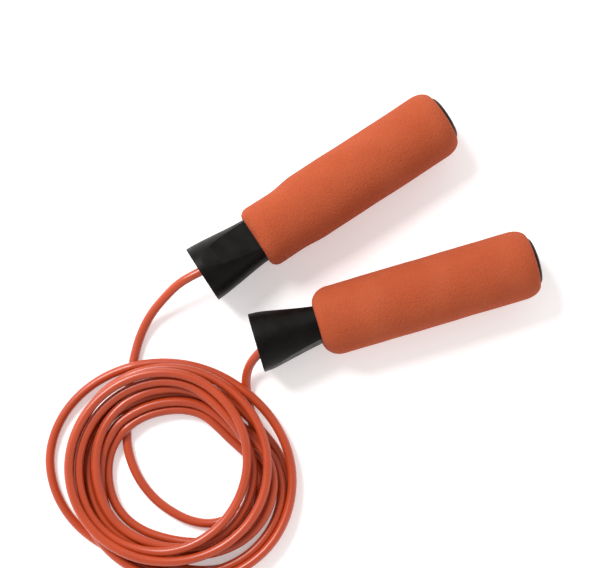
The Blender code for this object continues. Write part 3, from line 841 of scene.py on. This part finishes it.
class SKIPPINGROPE_OT_bearings(bpy.types.Operator):
    """Give the bearings and the pieces that hold the cord their materials"""
    bl_idname = "skipping_rope.bearings"
    bl_label = "Bearings"

    def execute(self, context):
        # ground and polished steel: a bright, even mirror with very fine marks
        ground = worked_metal("ground_bearing_steel", "D6D7D9", 0.16, 0.3 * MM)
        # zinc plating: a cloudy, bluish white bloom
        plated = worked_metal("zinc_plated_steel", "BDC2C6", 0.34, 1.2 * MM)
        # natural nylon: warm ivory with a waxy sheen
        nylon = plain_plastic("moulded_nylon", "E6E1D2", 0.42, 0.25 * MM)
        # grey acetal: hard, even and slightly slick
        acetal = plain_plastic("moulded_acetal", "5A5B5D", 0.36, 0.2 * MM)
        finishes = {
            "bearing_outer_race": ground, "bearing_inner_race": ground, "bearing_ball": ground,
            "bearing_cage": nylon, "bearing_retainer": acetal, "rotor_bush": acetal,
            "thrust_washer": plated, "cord_stop": plated,
        }
        for name, piece in frame["nodes"].items():
            finish = next((made for start, made in finishes.items() if name.startswith(start)), None)
            if finish:
                piece.data.materials.clear()
                piece.data.materials.append(finish)
        return {"FINISHED"}


# ---------------------------------------------------------------------------------------------------
# Stage
# ---------------------------------------------------------------------------------------------------
LOOK_AT = Vector((-32.7, -28.0, 19.0)) * MM
CAMERA_DISTANCE = 918.0 * MM
CAMERA_ELEVATION = math.radians(86.0)
LENS = 101.0
SENSOR_WIDTH = 36.0
CLIP_START = 10.0 * MM
FLOOR_SIZE = 16.0
PAPER_CLOUD = 30.0 * MM
KEY_PLACE = Vector((-0.70, 0.66, 1.08))      # from the point that the camera looks at
KEY_SIZE = 0.6


def aim(thing, target):
    """Turn a light or the camera to look at a point."""
    thing.rotation_euler = (target - thing.location).to_track_quat("-Z", "Y").to_euler()


class SKIPPINGROPE_OT_stage(bpy.types.Operator):
    """Make the floor, the lights, the world and the camera"""
    bl_idname = "skipping_rope.stage"
    bl_label = "Stage"

    def execute(self, context):
        settings = context.scene.skipping_rope.stage
        scene = context.scene
        bpy.ops.object.select_all(action="DESELECT")
        bpy.ops.mesh.primitive_plane_add(size=FLOOR_SIZE)
        floor = context.object
        floor.name = "floor"
        # uncoated white paper, lit a little from below: no gloss, and pale soft shadows
        made, tree, shader = new_material("matt_paper", 0.9)
        place = add_node(tree, "ShaderNodeTexCoord").outputs["Object"]
        fibres = noise_node(tree, place, PAPER_CLOUD).outputs["Fac"]
        tree.links.new(mix_colour(tree, fibres, rgba(settings.floor, 0.99), rgba(settings.floor)),
                       shader.inputs["Base Color"])
        shader.inputs["Specular IOR Level"].default_value = 0.1
        shader.inputs["Emission Color"].default_value = (1.0, 0.99, 0.985, 1.0)
        shader.inputs["Emission Strength"].default_value = settings.floor_glow
        floor.data.materials.append(made)

        # a room with a darker ceiling, so that the black plastic stays black from above
        world = bpy.data.worlds.new("soft_room")
        world.use_nodes = True
        tree = world.node_tree
        direction = add_node(tree, "ShaderNodeTexCoord").outputs["Generated"]
        height = add_node(tree, "ShaderNodeSeparateXYZ", inputs={"Vector": direction}).outputs["Z"]
        strength = spread(tree, height, 0.1, 0.95, settings.wall_light, settings.ceiling_light)
        background = tree.nodes["Background"]
        background.inputs["Color"].default_value = (1.0, 0.995, 0.99, 1.0)
        tree.links.new(strength, background.inputs["Strength"])
        scene.world = world

        key = bpy.data.lights.new("key_light", "AREA")
        key.shape = "DISK"
        key.size = KEY_SIZE
        key.energy = settings.key_power
        lamp = bpy.data.objects.new("key_light", key)
        lamp.location = LOOK_AT + KEY_PLACE
        aim(lamp, LOOK_AT)
        scene.collection.objects.link(lamp)

        lens = bpy.data.cameras.new("camera")
        lens.lens = LENS
        lens.sensor_width = SENSOR_WIDTH
        lens.clip_start = CLIP_START
        camera = bpy.data.objects.new("camera", lens)
        camera.location = LOOK_AT + CAMERA_DISTANCE * Vector(
            (0.0, -math.cos(CAMERA_ELEVATION), math.sin(CAMERA_ELEVATION)))
        aim(camera, LOOK_AT)
        scene.collection.objects.link(camera)
        scene.camera = camera
        scene.view_settings.view_transform = "Standard"
        return {"FINISHED"}


class SKIPPINGROPE_PT_panel(bpy.types.Panel):
    """Sizes, colours and buttons of the skipping rope"""
    bl_idname = "SKIPPINGROPE_PT_panel"
    bl_label = "Skipping Rope"
    bl_space_type = "VIEW_3D"
    bl_region_type = "UI"
    bl_category = "Skipping Rope"

    def draw(self, context):
        for operator in OPERATORS:
            self.layout.operator(operator.bl_idname)


OPERATORS = (SKIPPINGROPE_OT_stage, SKIPPINGROPE_OT_cord, SKIPPINGROPE_OT_grips, SKIPPINGROPE_OT_noses,
             SKIPPINGROPE_OT_caps, SKIPPINGROPE_OT_bearings)
SETTINGS = (CordSettings, GripSettings, NoseSettings, StageSettings, RopeSettings)


def register():
    """Register the settings, the operators and the panel."""
    for cls in (*SETTINGS, *OPERATORS, SKIPPINGROPE_PT_panel):
        bpy.utils.register_class(cls)
    bpy.types.Scene.skipping_rope = bpy.props.PointerProperty(type=RopeSettings)


def unregister():
    """Take the add-on out again."""
    del bpy.types.Scene.skipping_rope
    for cls in reversed((*SETTINGS, *OPERATORS, SKIPPINGROPE_PT_panel)):
        bpy.utils.unregister_class(cls)


def main():
    """Build everything in order."""
    register()
    for operator in OPERATORS:
        category, name = operator.bl_idname.split(".")
        getattr(getattr(bpy.ops, category), name)()


if __name__ == "__main__":
    main()
